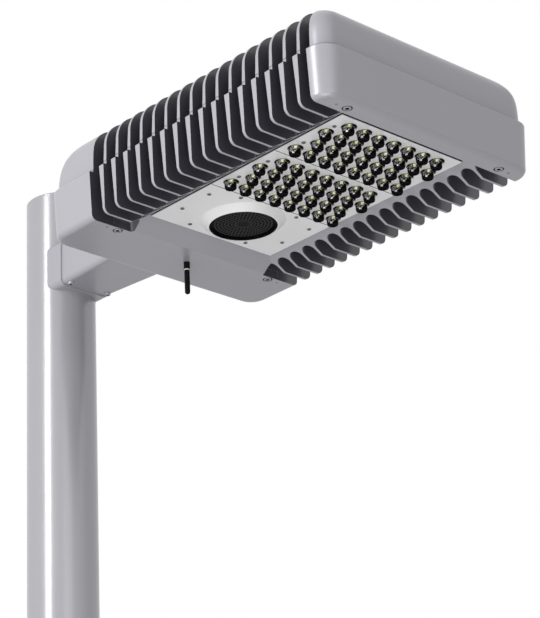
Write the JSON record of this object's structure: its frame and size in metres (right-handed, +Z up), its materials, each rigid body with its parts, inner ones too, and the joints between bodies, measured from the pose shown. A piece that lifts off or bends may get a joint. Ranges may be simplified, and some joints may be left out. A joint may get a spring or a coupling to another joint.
{
  "type": "area light",
  "caption": "Pole-mounted outdoor area light: ribbed cast housing on a box arm, lens modules and a round loudspeaker in its underside, stub antenna, pole-top section.",
  "frame": {"origin": "centre of the round pole's lower end, where the section of pole stops", "axes": "+Z up along the pole, +Y from the pole out along the arm and the housing, +X across the housing"},
  "size_m": [0.3818, 0.8194, 0.6545],
  "materials": {
    "pole_paint": "satin silver-grey paint on steel tube",
    "housing_coat": "satin silver-grey coating on cast aluminium",
    "plate_coat": "satin pale grey coating on sheet aluminium",
    "zinc_steel": "plain zinc-plated steel",
    "black_rubber": "matte black rubber",
    "board_laminate": "white solder resist on a board",
    "emitter": "yellow phosphor under clear resin",
    "lens_plastic": "clear lens over a dark background, polished",
    "grille_black": "satin black paint",
    "cone_plastic": "black moulded cone",
    "magnet_grey": "sintered dark grey magnet",
    "antenna_black": "moulded dark plastic",
    "pale_plastic": "pale moulded plastic",
    "brass_plain": "plain brass",
    "unit_metal": "plain aluminium case",
    "unit_plastic": "moulded dark case"
  },
  "bodies": {
    "root": {"pole_tube": "pole_paint", "pole_cap": "pole_paint", "pole_adaptor": "housing_coat", "arm": "housing_coat", "arm_gasket": "black_rubber", "arm_bolts": "zinc_steel", "arm_nuts": "zinc_steel", "pole_backing_plate": "zinc_steel", "arm_lock_screws": "zinc_steel", "rear_end_cap": "housing_coat", "front_end_cap": "housing_coat", "lower_heat_sink": "housing_coat", "upper_housing": "housing_coat", "seam_gasket": "black_rubber", "panel_gasket": "black_rubber", "rear_cap_screws": "zinc_steel", "front_cap_screws": "zinc_steel", "housing_screws": "zinc_steel", "led_plate_rear": "plate_coat", "led_plate_front": "plate_coat", "led_board_rear": "board_laminate", "led_board_front": "board_laminate", "led_chips_rear": "emitter", "led_chips_front": "emitter", "lenses_rear": "lens_plastic", "lenses_front": "lens_plastic", "led_plate_screws": "zinc_steel", "speaker_plate": "plate_coat", "speaker_bezel": "plate_coat", "speaker_grille": "grille_black", "speaker_frame": "grille_black", "speaker_cone": "cone_plastic", "speaker_magnet": "magnet_grey", "speaker_plate_screws": "zinc_steel", "antenna_sleeve": "antenna_black", "antenna_ring": "pale_plastic", "antenna_whip": "antenna_black", "antenna_nut": "brass_plain", "led_driver": "unit_metal", "wireless_amplifier": "unit_plastic", "terminal_block": "unit_plastic", "surge_protector": "unit_plastic"}
  },
  "joints": []
}
